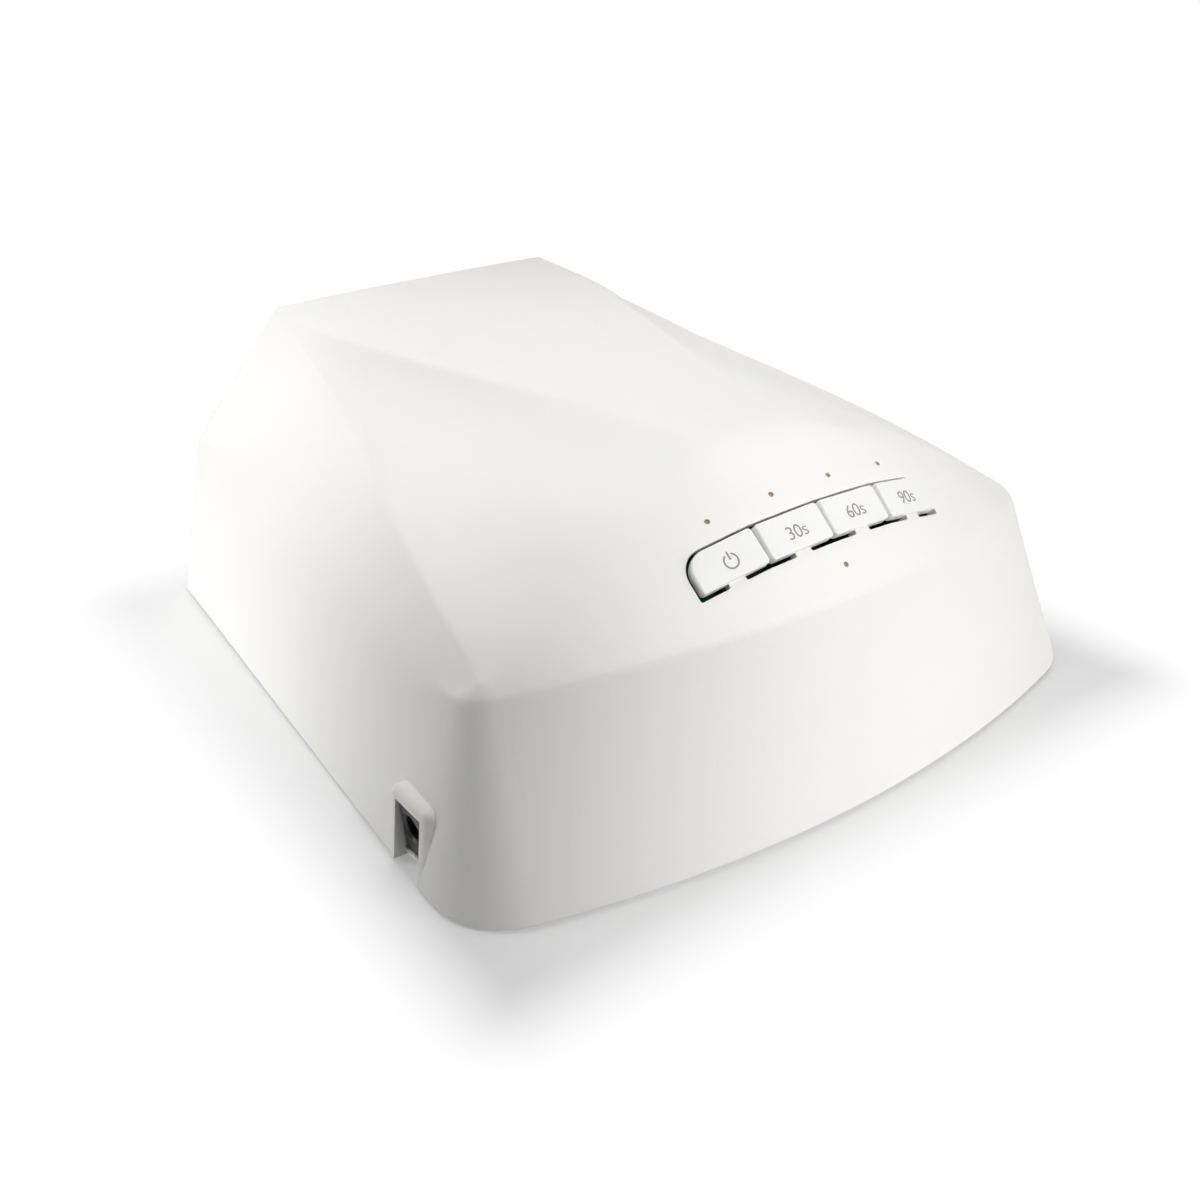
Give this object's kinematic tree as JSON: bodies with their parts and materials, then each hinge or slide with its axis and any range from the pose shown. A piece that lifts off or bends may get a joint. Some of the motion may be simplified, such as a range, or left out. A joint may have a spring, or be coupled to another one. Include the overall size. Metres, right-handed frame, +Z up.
{
  "type": "uv nail lamp",
  "caption": "Tabletop UV nail lamp: faceted white housing with a row of timer keys, a power socket, an open hand cavity with lamps and a slide-out tray.",
  "frame": {"origin": "middle of the bounding box in plan, on the plane of the feet", "axes": "+X to the right seen from the key side, +Y towards the hand opening, +Z up"},
  "size_m": [0.199, 0.1984, 0.0817],
  "materials": {
    "housing_white": "satin moulded, fine grain on the skirt",
    "tray_white": "satin moulded",
    "key_white": "smooth satin with printed legends",
    "stem_ivory": "moulded",
    "switch_black": "moulded",
    "light_guide": "translucent beige",
    "board_green": "solder resist over glass epoxy laminate",
    "board_white": "white solder resist",
    "lamp_lens": "clear yellowish resin",
    "steel": "zinc plated",
    "foot_rubber": "matt",
    "socket_black": "satin moulded",
    "capacitor_black": "shrink sleeve",
    "choke_core": "sintered ferrite",
    "liner_silver": "vacuum-metallised"
  },
  "bodies": {
    "housing": {"top_shell": "housing_white", "base_frame": "housing_white", "opening_bezel": "housing_white", "base_screw_1": "steel", "base_screw_2": "steel", "base_screw_3": "steel", "base_screw_4": "steel", "base_screw_5": "steel", "base_screw_6": "steel", "rubber_foot_1": "foot_rubber", "rubber_foot_2": "foot_rubber", "rubber_foot_3": "foot_rubber", "rubber_foot_4": "foot_rubber", "switch_body_power": "switch_black", "switch_body_30s": "switch_black", "switch_body_60s": "switch_black", "switch_body_90s": "switch_black", "light_pipe_1": "light_guide", "light_pipe_2": "light_guide", "light_pipe_3": "light_guide", "light_pipe_4": "light_guide", "light_pipe_5": "light_guide", "control_board": "board_green", "board_screw_1": "steel", "board_screw_2": "steel", "reflector_liner": "liner_silver", "lamp_board_top": "board_white", "lamp_board_left": "board_white", "lamp_board_right": "board_white", "uv_led_1": "lamp_lens", "uv_led_2": "lamp_lens", "uv_led_3": "lamp_lens", "uv_led_4": "lamp_lens", "uv_led_5": "lamp_lens", "uv_led_6": "lamp_lens", "uv_led_7": "lamp_lens", "uv_led_8": "lamp_lens", "uv_led_9": "lamp_lens", "uv_led_10": "lamp_lens", "uv_led_11": "lamp_lens", "uv_led_12": "lamp_lens", "power_socket": "socket_black", "power_socket_pin": "steel", "power_board": "board_green", "capacitor": "capacitor_black", "choke": "choke_core"},
    "key_power": {"key_power": "key_white", "switch_stem_power": "stem_ivory"},
    "key_30s": {"key_30s": "key_white", "switch_stem_30s": "stem_ivory"},
    "key_60s": {"key_60s": "key_white", "switch_stem_60s": "stem_ivory"},
    "key_90s": {"key_90s": "key_white", "switch_stem_90s": "stem_ivory"},
    "tray": {"slide_tray": "tray_white"}
  },
  "joints": [
    {"name": "key_power_press", "type": "hinge", "parent": "housing", "child": "key_power", "pos_m": [-0.02739, -0.08144, 0.06219], "axis": [-0.9792, 0.0867, -0.1834], "range_deg": [0, 3], "stiffness_Nm_per_rad": 0.1},
    {"name": "key_30s_press", "type": "hinge", "parent": "housing", "child": "key_30s", "pos_m": [-0.00915, -0.08249, 0.06431], "axis": [-0.9982, 0.0295, -0.053], "range_deg": [0, 3], "stiffness_Nm_per_rad": 0.1},
    {"name": "key_60s_press", "type": "hinge", "parent": "housing", "child": "key_60s", "pos_m": [0.00915, -0.08249, 0.06431], "axis": [-0.9982, -0.0295, 0.053], "range_deg": [0, 3], "stiffness_Nm_per_rad": 0.1},
    {"name": "key_90s_press", "type": "hinge", "parent": "housing", "child": "key_90s", "pos_m": [0.02739, -0.08144, 0.06219], "axis": [-0.9792, -0.0867, 0.1834], "range_deg": [0, 3], "stiffness_Nm_per_rad": 0.1},
    {"name": "tray_slide", "type": "slide", "parent": "housing", "child": "tray", "axis": [0, 1, 0], "range_m": [0, 0.15]}
  ]
}
